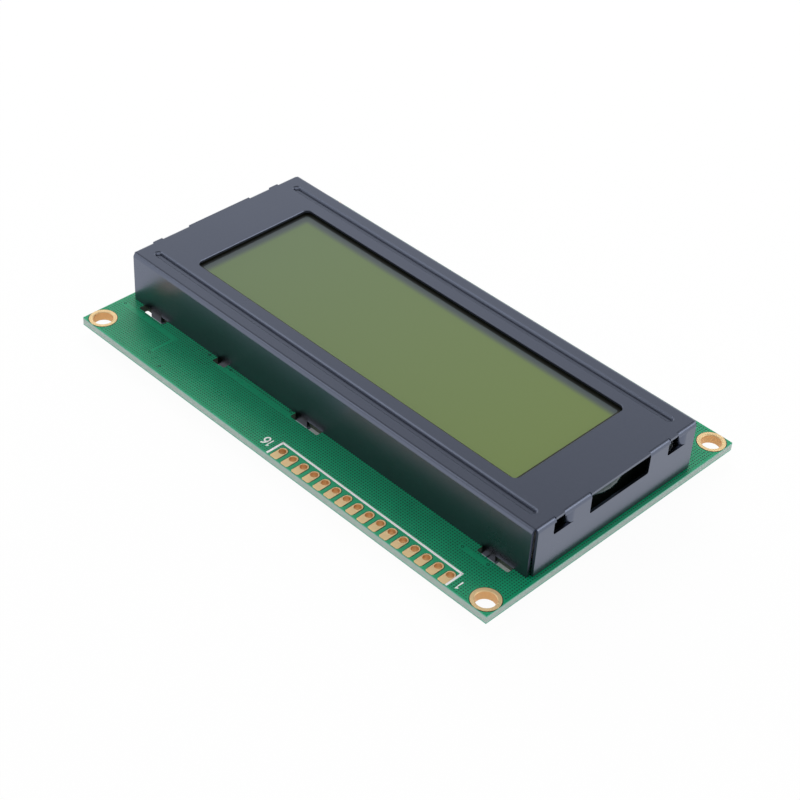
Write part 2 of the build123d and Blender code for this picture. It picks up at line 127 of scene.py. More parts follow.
# Plain finishes: material, colour and roughness
VIA_MASK = ("mask_in_via", (0.003, 0.055, 0.035), 0.25)
PLAIN_FINISHES = {
    "perimeter_seal": ("seal_line", (0.10, 0.11, 0.08), 0.5),
    "rear_polariser": ("rear_film", (0.42, 0.46, 0.36), 0.3),
    "backlight_board": ("white_masked_board", (0.70, 0.71, 0.66), 0.4),
    "backlight_diffuser": ("milky_sheet", (0.74, 0.77, 0.66), 0.5),
    "backlight_leds": ("light_chips", (0.60, 0.66, 0.12), 0.25),
}

# Chip bodies: material and colour
CERAMICS = {
    "resistor_bodies": ("black_glaze", (0.02, 0.02, 0.024)),
    "capacitor_bodies": ("tan_ceramic", (0.33, 0.19, 0.10)),
}

# Soft boxes: name, place, side, setting of its power, share of that setting, and whether the metal mirrors it
LAMPS = (
    ("far_box", (0.44, -0.40, 0.40), 0.55, "key_power", 1.0, False),
    ("side_glint_box", (0.37, 0.20, 0.56), 0.28, "glint_power", 0.7, True),
    ("end_glint_box", (-0.40, -0.36, 0.38), 0.28, "glint_power", 1.0, True),
)


def length(name, description, default):
    """A length property, with its default in millimetres."""
    return FloatProperty(name=name, description=description, default=default * MM, unit="LENGTH", precision=5)


def colour(name, description, default):
    """A linear colour property with alpha."""
    return FloatVectorProperty(
        name=name, description=description, default=(*default, 1.0), subtype="COLOR", size=4, min=0.0, max=1.0
    )


class BoardSizes(bpy.types.PropertyGroup):
    """Sizes of the printed detail on the circuit board."""

    hatch_pitch: length("Hatch pitch", "Grid of the copper hatch under the mask", 0.5)
    hatch_line: length("Hatch line", "Width of one copper line of the hatch", 0.26)
    hatch_margin: length("Hatch margin", "Plain border between the hatch and the board's edge", 0.35)
    clearance: length("Clearance", "Bare laminate round a pad or ring", 0.14)
    pad_pitch: length("Pad pitch", "Spacing of the header pads and their holes", 2.54)
    pad_width: length("Pad width", "Width of one header pad", 1.6)
    pin_count: IntProperty(name="Pins", description="Holes in the header row", default=16, min=2)
    strip_width: length("Strip width", "Width of a plain strip in the hatch", 0.5)
    strip_rise: length("Strip rise", "Height of a plain strip over the hatched face", 0.008)
    track_width: length("Track width", "Width of a signal track", 0.3)
    power_width: length("Power track width", "Width of a supply track", 0.55)
    track_rise: length("Track rise", "Height of a masked track over the board", 0.02)
    via_radius: length("Via radius", "Outer radius of a masked via", 0.28)
    via_bore: length("Via bore", "Radius of the dimple in a masked via", 0.13)
    print_width: length("Print line", "Width of the bracket's printed line", 0.43)
    digit_width: length("Digit line", "Width of a printed digit's strokes", 0.3)
    digit_height: length("Digit height", "Height of a printed digit", 1.75)
    outline_width: length("Outline", "Width of a printed line round a dome or chip", 0.18)
    print_rise: length("Print rise", "Height of the white print over the board", 0.02)


class DisplaySizes(bpy.types.PropertyGroup):
    """Sizes of the display's film and of the window over it."""

    window_x: length("Window length", "Opening of the bezel along the lines of text", 76.0)
    window_y: length("Window height", "Opening of the bezel across the lines of text", 26.4)
    window_corner: length("Window corner", "Corner radius of the opening", 1.2)
    border: length("Border", "Black border of the film inside the opening", 0.75)
    dot_pitch: length("Dot pitch", "Spacing of the display's dots", 0.6)
    # Painted shadow: width of the band where the bezel's edge shades the reflector
    shadow_band: length("Seal band", "Grey band inside the opening where the reflector ends", 1.15)
    # Painted shadow: shift of that band towards the far and +X edges
    cell_shift: length("Cell shift", "Distance of the cell from the opening's middle, both ways", 1.0)


class ModuleColours(bpy.types.PropertyGroup):
    """Colours of the module's finishes."""

    mask_on_copper: colour("Mask on copper", "Green mask where copper lies under it", (0.004, 0.330, 0.150))
    mask_on_laminate: colour("Mask on laminate", "Green mask over bare laminate", (0.001, 0.040, 0.025))
    laminate: colour("Laminate", "Cut edge of the glass-epoxy board", (0.47, 0.58, 0.53))
    laminate_rim: colour("Laminate rim", "Cut edge next to the masked faces", (0.12, 0.52, 0.37))
    # Painted shade: the slot walls are darkened to stand for the deep shade in the narrow slots
    slot_wall_shade: colour("Slot wall", "Walls of the slots, dark with resin and dust", (0.055, 0.085, 0.060))
    gold: colour("Gold", "Thin gold on copper", (1.0, 0.70, 0.37))
    white_print: colour("White print", "Printed lines and digits", (0.98, 0.99, 0.98))
    black_steel: colour("Black steel", "Coating of the folded bezel", (0.135, 0.153, 0.205))
    display: colour("Display", "Resting colour of the display", (0.160, 0.232, 0.038))
    # Painted shadow: colour of the band where the bezel's edge shades the reflector
    shadow_band: colour("Seal band", "Band beside the border of the film", (0.056, 0.076, 0.078))
    film_border: colour("Film border", "Border of the film inside the opening", (0.012, 0.013, 0.008))
    glass: colour("Glass", "Edges of the two glass sheets", (0.006, 0.016, 0.010))
    sealant: colour("Sealant", "Cured drop on the fill port", (0.032, 0.064, 0.068))
    resin: colour("Resin", "Black domes over the chips", (0.008, 0.008, 0.009))
    white_plastic: colour("White plastic", "Backlight frame", (0.78, 0.78, 0.74))
    # Colour of the frame's outer ends, darker than the rest of it
    dark_end: colour("Blackened end", "Outer ends of the backlight frame", (0.010, 0.014, 0.011))
    pale_rubber: colour("Pale rubber", "Insulating layers of the connector strips", (0.42, 0.44, 0.50))
    dark_rubber: colour("Dark rubber", "Conducting layers of the connector strips", (0.03, 0.03, 0.035))
    solder: colour("Solder", "Bright solder and tinned wire", (0.70, 0.71, 0.72))
    floor: colour("Floor", "Paper floor of the studio", (0.95, 0.95, 0.95))


class StudioSettings(bpy.types.PropertyGroup):
    """Camera and lamps."""

    camera_place: FloatVectorProperty(
        name="Camera place", description="Where the camera stands", subtype="TRANSLATION", unit="LENGTH",
        default=mm(-168.92, 180.56, 198.03), precision=5,
    )
    camera_right: FloatVectorProperty(
        name="Camera right", description="Direction of the picture's right side", subtype="DIRECTION",
        default=(-0.70213, -0.71027, 0.05029), precision=5,
    )
    camera_up: FloatVectorProperty(
        name="Camera up", description="Direction of the picture's top", subtype="DIRECTION",
        default=(0.47684, -0.41658, 0.774), precision=5,
    )
    camera_lens: FloatProperty(name="Lens", description="Focal length in millimetres", default=82.75)
    floor_size: length("Floor", "Side of the square floor", 3000.0)
    ambient: FloatProperty(name="Ambient", description="Level of the light from all round", default=0.60)
    key_power: FloatProperty(
        name="Key lamp", description="Power of the soft box beyond the module", default=3.3, subtype="POWER"
    )
    glint_power: FloatProperty(
        name="Glint lamps", description="Power of the boxes that bends mirror", default=0.38, subtype="POWER"
    )


def tinted(base, factors):
    """The colour with each channel times its factor."""
    return [channel * factor for channel, factor in zip(base, factors)] + [1.0]


def dimmed(base, factor):
    """The colour with all channels times one factor."""
    return tinted(base, (factor,) * 3)


class NodeBench:
    """Adds nodes to a new material or world; most calls return the output that matters."""

    MIX_SOCKETS = {"RGBA": (0, 6, 7), "FLOAT": (0, 2, 3)}

    def __init__(self, name, world=False):
        self.owner = bpy.data.worlds.new(name) if world else bpy.data.materials.new(name)
        self.owner.use_nodes = True
        self.tree = self.owner.node_tree
        self.shader = self.tree.nodes["Background" if world else "Principled BSDF"]
        self.place = self.add("ShaderNodeTexCoord").outputs["Generated" if world else "Object"]

    def add(self, kind, **settings):
        node = self.tree.nodes.new(kind)
        for key, value in settings.items():
            setattr(node, key, value)
        return node

    def link(self, source, target):
        """Joins an output to the socket, or gives the socket a plain value."""
        if isinstance(source, bpy.types.NodeSocket):
            self.tree.links.new(source, target)
        else:
            target.default_value = source

    def feed(self, node, pairs):
        """Feeds the node's sockets, given by name or number, with outputs or values."""
        for socket, source in pairs:
            self.link(source, node.inputs[socket])

    def maths(self, operation, *values):
        node = self.add("ShaderNodeMath", operation=operation)
        self.feed(node, enumerate(values))
        return node.outputs[0]

    def times(self, first, second):
        return self.maths("MULTIPLY", first, second)

    def inverse(self, share):
        return self.maths("SUBTRACT", 1.0, share)

    def apart(self, value, centre):
        """Distance of the value from the centre."""
        return self.maths("ABSOLUTE", self.maths("SUBTRACT", value, centre))

    def varied(self, share, spread, least):
        """Least where share is 0, and more by spread where it is 1."""
        return self.maths("ADD", self.times(share, spread), least)

    def split(self, vector=None):
        node = self.add("ShaderNodeSeparateXYZ")
        self.link(vector or self.place, node.inputs[0])
        return node.outputs

    def upright(self):
        """1 on a level face and 0 on a wall."""
        return self.maths("ABSOLUTE", self.split(self.add("ShaderNodeNewGeometry").outputs["Normal"])[2])

    def ramp(self, value, low, high, start=0.0, end=1.0, kind="LINEAR"):
        """Start under low, end over high."""
        node = self.add("ShaderNodeMapRange", interpolation_type=kind)
        sockets = ("Value", "From Min", "From Max", "To Min", "To Max")
        self.feed(node, zip(sockets, (value, low, high, start, end)))
        return node.outputs["Result"]

    def step(self, value, low, high):
        """0 under low, 1 over high, eased at both ends."""
        return self.ramp(value, low, high, kind="SMOOTHSTEP")

    def noise(self, scale, detail=3.0, stretch=(1, 1, 1)):
        mapping = self.add("ShaderNodeMapping")
        self.feed(mapping, (("Vector", self.place), ("Scale", stretch)))
        node = self.add("ShaderNodeTexNoise")
        sockets = ("Vector", "Scale", "Detail", "Roughness")
        self.feed(node, zip(sockets, (mapping.outputs[0], scale, detail, 0.55)))
        return node.outputs["Fac"]

    def mix(self, share, first, second, kind="RGBA"):
        """From the first colour, or number where kind is FLOAT, to the second."""
        node = self.add("ShaderNodeMix", data_type=kind)
        self.feed(node, zip(self.MIX_SOCKETS[kind], (share, first, second)))
        return node.outputs[2 if kind == "RGBA" else 0]

    def shade(self, base, amount, share):
        """The base colour, darkened by amount where share is 0 and lightened by it where share is 1."""
        light = [min(1.0, channel) for channel in dimmed(base, 1 + amount)]
        return self.mix(share, dimmed(base, 1 - amount), light)

    def bump(self, height, depth, strength=1.0, normal=None):
        """Relief of this depth in millimetres."""
        node = self.add("ShaderNodeBump")
        self.feed(node, (("Height", height), ("Distance", depth * MM), ("Strength", strength)))
        if normal:
            self.link(normal, node.inputs["Normal"])
        return node.outputs["Normal"]

    def outside_box(self, x, y, centre, half, radius):
        """Distance outside a rectangle with rounded corners, negative inside it."""
        squares = []
        for value, middle, reach in zip((x, y), centre, half):
            past = self.maths("SUBTRACT", self.apart(value, middle), reach - radius)
            outside = self.maths("MAXIMUM", past, 0.0)
            squares.append(self.times(outside, outside))
        return self.maths("SUBTRACT", self.maths("SQRT", self.maths("ADD", *squares)), radius)

    def finish(self, **values):
        """Sets the shader's sockets by name, with spaces written as underscores."""
        self.feed(self.shader, ((key.replace("_", " "), value) for key, value in values.items()))
        return self.owner

    def show_over(self, upper, share, output):
        """Shows the upper shader over the bench's own by a share, at the tree's output node."""
        mix = self.add("ShaderNodeMixShader")
        self.feed(mix, enumerate((share, self.shader.outputs[0], upper.outputs[0])))
        self.link(mix.outputs[0], self.tree.nodes[output].inputs["Surface"])


def hatch_gaps():
    """Places where the hatch is left out: centre, half size and corner radius."""
    ring_halo = 0.3 * MM
    reach = RING_REACH + ring_halo
    ring_x, ring_y = RING_CENTRE
    gaps = [((side * ring_x, row * ring_y), (reach,) * 2, reach) for side in (-1, 1) for row in (-1, 1)]
    header_y, header_half_y, header_corner = mm(28.2, 1.75, 0.2)
    gaps.append(((PADS_MIDDLE_X, header_y), (PADS_HALF_X, header_half_y), header_corner))
    halo, halo_corner = mm(0.5, 0.4)
    for low_x, high_x, centre_y in FRONT_STRIPS:
        gaps.append((((low_x + high_x) / 2, centre_y), ((high_x - low_x) / 2 + halo, halo), halo_corner))
    return gaps


def hatch_copper(bench, sizes, x, y):
    """1 on the lines of the copper hatch and on the plain copper round it."""
    half_line = sizes.hatch_line / 2
    half_pitch = sizes.hatch_pitch / 2
    blur, board_corner = mm(0.03, 1.0)
    holes = []
    for value in (x, y):
        folded = bench.maths("PINGPONG", bench.maths("ADD", value, half_pitch / 2), half_pitch)
        holes.append(bench.step(folded, half_line - blur, half_line + blur))
    hole = bench.times(*holes)
    half_board = (BOARD_HIGH.x - sizes.hatch_margin, BOARD_HIGH.y - sizes.hatch_margin)
    hatched = bench.maths("LESS_THAN", bench.outside_box(x, y, (0, 0), half_board, board_corner), 0.0)
    for gap in hatch_gaps():
        hatched = bench.times(hatched, bench.maths("GREATER_THAN", bench.outside_box(x, y, *gap), 0.0))
    return bench.inverse(bench.times(hole, hatched))


def bare_clearance(bench, sizes, x, y):
    """1 on the bare laminate round the rings, and round the pads, with x folded at their pitch."""
    ring_x, ring_y = (bench.maths("ABSOLUTE", value) for value in (x, y))
    ring = bench.outside_box(ring_x, ring_y, RING_CENTRE, (RING_REACH,) * 2, RING_REACH)
    folded = bench.maths("PINGPONG", bench.maths("SUBTRACT", x, PADS_LOW.x + PAD_REACH), sizes.pad_pitch / 2)
    pad_half = (sizes.pad_width / 2, (PADS_HIGH.y - PADS_LOW.y) / 2)
    pad_centre = (0.0, (PADS_HIGH.y + PADS_LOW.y) / 2)
    pad = bench.outside_box(folded, y, pad_centre, pad_half, sizes.pad_width / 2)
    in_row = bench.maths("LESS_THAN", bench.apart(x, PADS_MIDDLE_X), PADS_HALF_X)
    around_pad = bench.times(bench.maths("LESS_THAN", pad, sizes.clearance), in_row)
    return bench.maths("MAXIMUM", around_pad, bench.maths("LESS_THAN", ring, sizes.clearance))


def cut_edge(bench, colours, x, y, z):
    """Colour of the board's cut walls: pale fibre, greener next to the faces, and darkened in the slots as
    painted shade.
    """
    fibre = bench.noise(900.0, detail=4.0, stretch=(1.0, 1.0, 9.0))
    core = bench.shade(colours.laminate, 0.22, fibre)
    rim = bench.shade(colours.laminate_rim, 0.22, fibre)
    core_end, rim_start = mm(0.45, 0.75)
    edge = bench.mix(bench.step(bench.apart(z, BOARD_HIGH.z / 2), core_end, rim_start), core, rim)
    # Painted shade on the walls inside the slots
    in_slot = bench.times(*(
        bench.maths("LESS_THAN", bench.maths("ABSOLUTE", value), end) for value, end in zip((x, y), SLOT_END)
    ))
    return bench.mix(in_slot, edge, colours.slot_wall_shade)


def board_finish(sizes, colours):
    """Green mask over a copper hatch on both faces, bare laminate on the cut edges."""
    bench = NodeBench("solder_mask_on_hatch")
    x, y, z = bench.split()
    covered = bench.inverse(bare_clearance(bench, sizes, x, y))
    copper = bench.times(hatch_copper(bench, sizes, x, y), covered)
    # The middle of the back carries tracks on bare laminate
    track_reach = 21.3 * MM
    track_share = 0.25
    on_back = bench.maths("LESS_THAN", z, BOARD_HIGH.z / 2)
    track_zone = bench.maths("LESS_THAN", bench.maths("ABSOLUTE", y), track_reach)
    copper = bench.mix(bench.times(on_back, track_zone), copper, track_share, "FLOAT")

    flow = bench.noise(260.0, detail=2.0)
    speck = bench.noise(2600.0, detail=2.0)
    over_copper = bench.shade(colours.mask_on_copper, 0.14, flow)
    over_laminate = bench.shade(colours.mask_on_laminate, 0.16, flow)
    mask = bench.mix(copper, over_laminate, over_copper)
    least_upright = 0.75
    speck_share = 0.12
    cut_rough = 0.45
    on_face = bench.maths("GREATER_THAN", bench.upright(), least_upright)
    height = bench.maths("ADD", copper, bench.times(speck, speck_share))
    relief = bench.bump(bench.times(height, on_face), depth=0.02, strength=0.6)
    face_rough = bench.varied(flow, spread=0.10, least=0.24)
    rough = bench.maths("ADD", face_rough, bench.times(bench.inverse(on_face), cut_rough))
    tone = bench.mix(on_face, cut_edge(bench, colours, x, y, z), mask)
    return bench.finish(Base_Color=tone, Roughness=rough, Normal=relief)


def mask_on_track(colours):
    """Mask where a solid track lies under it."""
    bench = NodeBench("mask_on_track")
    flow = bench.noise(420.0)
    return bench.finish(
        Base_Color=bench.shade(colours.mask_on_copper, 0.10, flow),
        Roughness=bench.varied(flow, spread=0.12, least=0.22),
        Normal=bench.bump(bench.noise(3000.0), depth=0.004),
    )


def gold_finish(colours):
    """Thin gold over rolled copper: fine grain, slightly darker patches, and redder walls in the holes."""
    bench = NodeBench("gold_on_copper")
    patch = bench.noise(700.0, detail=4.0)
    grain = bench.noise(9000.0, detail=2.0)
    wall = tinted(colours.gold, (0.80, 0.66, 0.52))
    wall_end, face_start = 0.3, 0.7
    level = bench.step(bench.upright(), wall_end, face_start)
    return bench.finish(
        Base_Color=bench.mix(level, wall, bench.shade(colours.gold, 0.08, patch)),
        Metallic=0.5,
        Roughness=bench.varied(patch, spread=0.20, least=0.32),
        Normal=bench.bump(grain, depth=0.006),
    )


def grained_finish(name, base, change, grain, rough, depth, strength=1.0, detail=3.0, **fixed):
    """One colour under a fine grain; rough is one number, or its spread and least value over the grain."""
    bench = NodeBench(name)
    share = bench.noise(grain, detail)
    fixed["Roughness"] = rough if isinstance(rough, float) else bench.varied(share, *rough)
    relief = bench.bump(share, depth, strength)
    return bench.finish(Base_Color=bench.shade(base, change, share), Normal=relief, **fixed)


def print_finish(colours):
    """Screen-printed white ink, a little thin in places."""
    ink = colours.white_print
    return grained_finish("white_ink", ink, change=0.12, grain=2400.0, rough=(0.2, 0.5), depth=0.005)


def tab_light(bench):
    """1 on the bezel, and 0 where its tabs lie in deep shade: in the board's slots and just above them."""
    x, _, z = bench.split()
    top = BOARD_HIGH.z
    slot_shade, foot_shade, foot_light, tab_half, tab_light_half = mm(0.3, 0.1, 1.1, 1.2, 1.9)
    deep_start, deep_end = 0.2 * top, 0.6 * top
    above_slots = bench.step(z, deep_end, top + slot_shade)
    below_slots = bench.inverse(bench.step(z, 0.0, deep_start))
    lit = bench.maths("MAXIMUM", above_slots, below_slots)
    above_shade = bench.step(z, top + foot_shade, top + foot_light)
    for place in TAB_PLACES:
        beside = bench.step(bench.apart(x, place), tab_half, tab_light_half)
        beside = bench.maths("MAXIMUM", beside, below_slots)
        lit = bench.times(lit, bench.maths("MAXIMUM", beside, above_shade))
    return lit


def black_steel_finish(colours):
    """Satin black-blue coating on sheet steel: a fine rolled grain and slow changes of gloss."""
    bench = NodeBench("black_coated_steel")
    sheen = bench.noise(60.0, detail=2.0)
    grain = bench.noise(5200.0, stretch=(0.35, 1.0, 1.0))
    shaded = dimmed(colours.black_steel, 0.22)
    grain_rough = 0.04
    gloss = bench.varied(sheen, spread=0.07, least=0.235)
    return bench.finish(
        Base_Color=bench.mix(tab_light(bench), shaded, bench.shade(colours.black_steel, 0.05, grain)),
        Metallic=1.0,
        Roughness=bench.maths("ADD", gloss, bench.times(grain, grain_rough)),
        Normal=bench.bump(grain, depth=0.001, strength=0.1),
    )


def dot_grid(bench, sizes, x, y):
    """1 on the display's dots, 0 in the gaps between them."""
    gap = 0.03 * MM
    return bench.times(*(
        bench.step(bench.maths("PINGPONG", value, sizes.dot_pitch / 2), gap, 2 * gap) for value in (x, y)
    ))


def film_finish(sizes, colours):
    """Film over the resting display: black border, a band of painted shadow where the bezel's edge shades the
    reflector, a painted sheen that turns it bluer towards +X, and grid of dots.
    """
    bench = NodeBench("display_film")
    x, y, _ = bench.split()
    window_y = (FILM_LOW.y + FILM_HIGH.y) / 2
    half = (sizes.window_x / 2, sizes.window_y / 2)
    outside = bench.outside_box(x, y, (0.0, window_y), half, sizes.window_corner)
    blur, band_corner, band_start, band_end = mm(0.05, 0.6, -1.2, 0.85)
    border = bench.step(outside, -sizes.border - blur, -sizes.border + blur)
    # The painted shadow band is shifted towards the far and +X edges, the sides the bezel's edge shades
    cell = (-sizes.cell_shift, window_y + sizes.cell_shift)
    band_half = (half[0] - sizes.shadow_band, half[1] - sizes.shadow_band)
    band = bench.step(bench.outside_box(x, y, cell, band_half, band_corner), band_start, band_end)
    # Painted reflection: the display turns bluer towards +X, where the film mirrors more of the white studio
    painted_sheen_tint = tinted(colours.display, (0.71, 0.77, 1.90))
    tone = bench.mix(bench.ramp(x, -half[0], half[0]), colours.display, painted_sheen_tint)
    dot_share, dot_level = 0.25, 0.965
    dots = bench.times(dot_grid(bench, sizes, x, y), dot_share)
    tone = bench.mix(dots, tone, dimmed(colours.display, dot_level))
    tone = bench.mix(band, tone, colours.shadow_band)
    tone = bench.mix(border, tone, colours.film_border)
    clear = bench.noise(1500.0, detail=2.0)
    rough = bench.varied(clear, spread=0.06, least=0.28)
    return bench.finish(Base_Color=tone, Roughness=rough, Normal=bench.bump(clear, depth=0.002, strength=0.4))


def glass_finish(colours):
    """Display glass, dark at its scribed and broken edges."""
    bench = NodeBench("display_glass")
    cut = bench.noise(1600.0, stretch=(1.0, 1.0, 4.0))
    half_upright = 0.5
    cut_rough, face_rough = 0.35, 0.3
    on_edge = bench.maths("LESS_THAN", bench.upright(), half_upright)
    return bench.finish(
        Base_Color=bench.shade(colours.glass, 0.08, cut),
        Roughness=bench.maths("ADD", bench.times(on_edge, bench.times(cut, cut_rough)), face_rough),
        Specular_IOR_Level=0.0,
        Normal=bench.bump(cut, depth=0.006, strength=0.5),
    )


def sealant_finish(colours):
    """Cured translucent sealant, slightly cloudy."""
    return grained_finish(
        "port_sealant", colours.sealant, change=0.2, grain=800.0, rough=0.18, depth=0.02,
        Transmission_Weight=0.1,
    )


def strip_finish(colours):
    """Layered connector rubber: dark conducting layers between pale ones."""
    bench = NodeBench("layered_rubber")
    half_pitch, layer_start, layer_end = mm(0.09, 0.03, 0.06)
    layer = bench.step(bench.maths("PINGPONG", bench.split()[0], half_pitch), layer_start, layer_end)
    dust = bench.noise(1800.0)
    return bench.finish(
        Base_Color=bench.mix(layer, colours.dark_rubber, bench.shade(colours.pale_rubber, 0.1, dust)),
        Roughness=0.6,
        Normal=bench.bump(bench.maths("ADD", layer, dust), depth=0.008),
    )


def moulded(bench, base, rough):
    """Gives the bench a fine spark-eroded skin, and returns its colour with slow changes."""
    slow = bench.noise(90.0)
    skin = bench.bump(bench.noise(4200.0, detail=2.0), depth=0.01, strength=0.5)
    bench.finish(Roughness=bench.varied(slow, spread=0.14, least=rough - 0.07), Normal=skin)
    return bench.shade(base, 0.06, slow)


def plastic_finish(name, base, rough):
    """Moulded plastic of one colour."""
    bench = NodeBench(name)
    return bench.finish(Base_Color=moulded(bench, base, rough))


def housing_finish(colours):
    """White moulding whose outer ends are dark."""
    bench = NodeBench("white_moulding")
    dark_end_depth = 0.05 * MM
    along = bench.maths("ABSOLUTE", bench.split()[0])
    at_end = bench.maths("GREATER_THAN", along, HOUSING_HIGH.x - dark_end_depth)
    white = moulded(bench, colours.white_plastic, rough=0.45)
    return bench.finish(Base_Color=bench.mix(at_end, white, colours.dark_end), Specular_IOR_Level=0.2)


def solder_finish(colours):
    """Solder and tinned wire: bright, with a frosted grain."""
    return grained_finish(
        "bright_solder", colours.solder, change=0.12, grain=3500.0, rough=(0.3, 0.15), depth=0.012,
        strength=0.7, detail=4.0, Metallic=1.0,
    )


def resin_finish(colours):
    """Black potting resin: glossy crown with slow ripples and a few dull spots."""
    bench = NodeBench("black_resin")
    ripple = bench.bump(bench.noise(180.0, detail=2.0), depth=0.12, strength=0.5)
    spot = bench.noise(1400.0)
    return bench.finish(
        Base_Color=bench.shade(colours.resin, 0.3, spot),
        Roughness=bench.varied(spot, spread=0.16, least=0.16),
        Normal=bench.bump(spot, depth=0.006, strength=0.4, normal=ripple),
    )


def ceramic_finish(name, base):
    """Fired ceramic chip body with a speckled glaze."""
    return grained_finish(name, base, change=0.2, grain=6000.0, rough=0.4, depth=0.006)


def paint(node_names, material):
    """Gives the carried-over nodes one material."""
    for name in node_names:
        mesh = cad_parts[name].data
        mesh.materials.clear()
        mesh.materials.append(material)


def paint_plain(*node_names):
    """Gives each carried-over node its own plain finish."""
    for name in node_names:
        paint([name], plastic_finish(*PLAIN_FINISHES[name]))


def start_fresh():
    """Object mode with nothing selected."""
    if bpy.context.object and bpy.context.object.mode != "OBJECT":
        bpy.ops.object.mode_set(mode="OBJECT")
    bpy.ops.object.select_all(action="DESELECT")


def keep(piece, name, material, replaced=()):
    """Names a finished piece, puts its place in its mesh and hangs it on the frame."""
    start_fresh()
    bpy.context.view_layer.objects.active = piece
    piece.select_set(True)
    bpy.ops.object.transform_apply(location=True, rotation=True, scale=True)
    piece.name = name
    piece.data.name = name
    piece.data.materials.clear()
    piece.data.materials.append(material)
    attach(piece, "root")
    if replaced:
        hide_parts(*replaced)
    start_fresh()


def draw_lines(name, routes, width, rise, level, material, rings=()):
    """A flattened raised line along each route, and round each ring (centre, radius), all in one piece."""
    ring_steps = 56
    crease = math.radians(40)
    start_fresh()
    bpy.ops.mesh.primitive_plane_add(size=width, location=(0, 0, level))
    bpy.ops.object.mode_set(mode="EDIT")
    bpy.ops.mesh.select_mode(type="VERT")
    bpy.ops.mesh.select_all(action="SELECT")
    bpy.ops.mesh.delete(type="VERT")
    for route in routes:
        bpy.ops.mesh.primitive_plane_add(size=width / 4, location=(*route[0], level))
        bpy.ops.mesh.merge(type="CENTER")
        for here, there in zip(route, route[1:]):
            step = (there[0] - here[0], there[1] - here[1], 0.0)
            bpy.ops.mesh.extrude_region_move(TRANSFORM_OT_translate={"value": step})
    for centre, radius in rings:
        bpy.ops.mesh.primitive_circle_add(vertices=ring_steps, radius=radius, location=(*centre, level))
    bpy.ops.object.mode_set(mode="OBJECT")
    bpy.ops.object.convert(target="CURVE")
    curve = bpy.context.object.data
    curve.bevel_depth = width / 2
    curve.bevel_resolution = 1
    curve.use_fill_caps = True
    bpy.ops.object.convert(target="MESH")
    bpy.ops.object.mode_set(mode="EDIT")
    bpy.ops.mesh.select_all(action="SELECT")
    bpy.ops.transform.resize(value=(1, 1, 2 * rise / width), center_override=(0, 0, level))
    bpy.ops.mesh.normals_make_consistent(inside=False)
    bpy.ops.object.mode_set(mode="OBJECT")
    bpy.ops.object.shade_smooth_by_angle(angle=crease)
    keep(bpy.context.object, name, material)


def arc(centre, across, upright, start, end, steps):
    """Points on an arc of an ellipse with these half widths, in degrees."""
    turns = [math.radians(start + (end - start) * k / steps) for k in range(steps + 1)]
    return [(centre[0] + across * math.cos(t), centre[1] + upright * math.sin(t)) for t in turns]


def eased(route, cut):
    """The route with each square corner cut at 45 degrees."""
    points = [Vector(p) for p in route]
    made = [points[0]]
    for before, corner, after in zip(points, points[1:], points[2:]):
        short = min(cut, (corner - before).length / 2, (after - corner).length / 2)
        made.append(corner + (before - corner).normalized() * short)
        made.append(corner + (after - corner).normalized() * short)
    made.append(points[-1])
    return [tuple(p) for p in made]


def digit_one(x, y, height):
    """Stroke of a printed 1, with its foot's middle at x, y."""
    flag, flag_foot = 0.17 * height, 0.8 * height
    return [(x - flag, y + flag_foot), (x, y + height), (x, y)]


def digit_six(x, y, height):
    """Stroke of a printed 6, with its foot's middle at x, y."""
    half = 0.245 * height
    bowl = 0.31 * height
    loop = arc((x, y + bowl), half, bowl, 180, -180, 14)
    tail = arc((x + half, y + bowl), 2 * half, height - bowl, 95, 180, 7)
    return tail + loop[1:]


def bracket_routes(sizes):
    """White bracket under the header row."""
    left, right = (BOARD_LOW.x + inset for inset in mm(8.7, 49.35))
    low, top = (BOARD_HIGH.y - inset for inset in mm(3.77, 0.15))
    lap = sizes.print_width / 2
    return [[(left, top), (left, low)], [(left - lap, low), (right + lap, low)], [(right, low), (right, top)]]


def digit_routes(sizes):
    """Pin numbers 1 and 16 at the bracket's ends, placed from the board's corner."""
    digits = ((digit_one, 7.28, 2.55), (digit_one, 50.8, 2.98), (digit_six, 51.72, 2.98))
    return [
        digit(BOARD_LOW.x + across * MM, BOARD_HIGH.y - down * MM, sizes.digit_height)
        for digit, across, down in digits
    ]


def pin_place(sizes, number):
    """Centre of a header hole."""
    first = PADS_MIDDLE_X - sizes.pad_pitch * (sizes.pin_count - 1) / 2
    return first + sizes.pad_pitch * (number - 1), BOARD_HIGH.y - HOLE_INSET


def dome_of(node):
    """Centre and radius of a resin dome."""
    low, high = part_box(node)
    return ((low.x + high.x) / 2, (low.y + high.y) / 2), (high.x - low.x) / 2


def under_rim(radius, offset):
    """Distance from a dome's middle at which a track, this far to its side, lies under the resin's rim."""
    lap = 0.6 * MM
    return math.sqrt(radius**2 - offset**2) - lap


def header_tracks(sizes):
    """Header holes to the controller: every track steps sideways on a level of its own."""
    (hub_x, hub_y), radius = dome_of("controller_dome")
    fan, first_level, level_step, pad_overlap, ease = mm(0.72, 17.2, 0.62, 1.0, 0.7)
    highest_pin = 11
    routes = []
    for number in range(1, sizes.pin_count + 1):
        pin_x, pin_y = pin_place(sizes, number)
        offset = (number - (sizes.pin_count + 1) / 2) * fan
        foot = (hub_x + offset, hub_y + under_rim(radius, offset))
        level = first_level + level_step * (number if number <= highest_pin else 2 * highest_pin - number)
        routes.append(eased([(pin_x, pin_y - pad_overlap), (pin_x, level), (foot[0], level), foot], ease))
    return routes


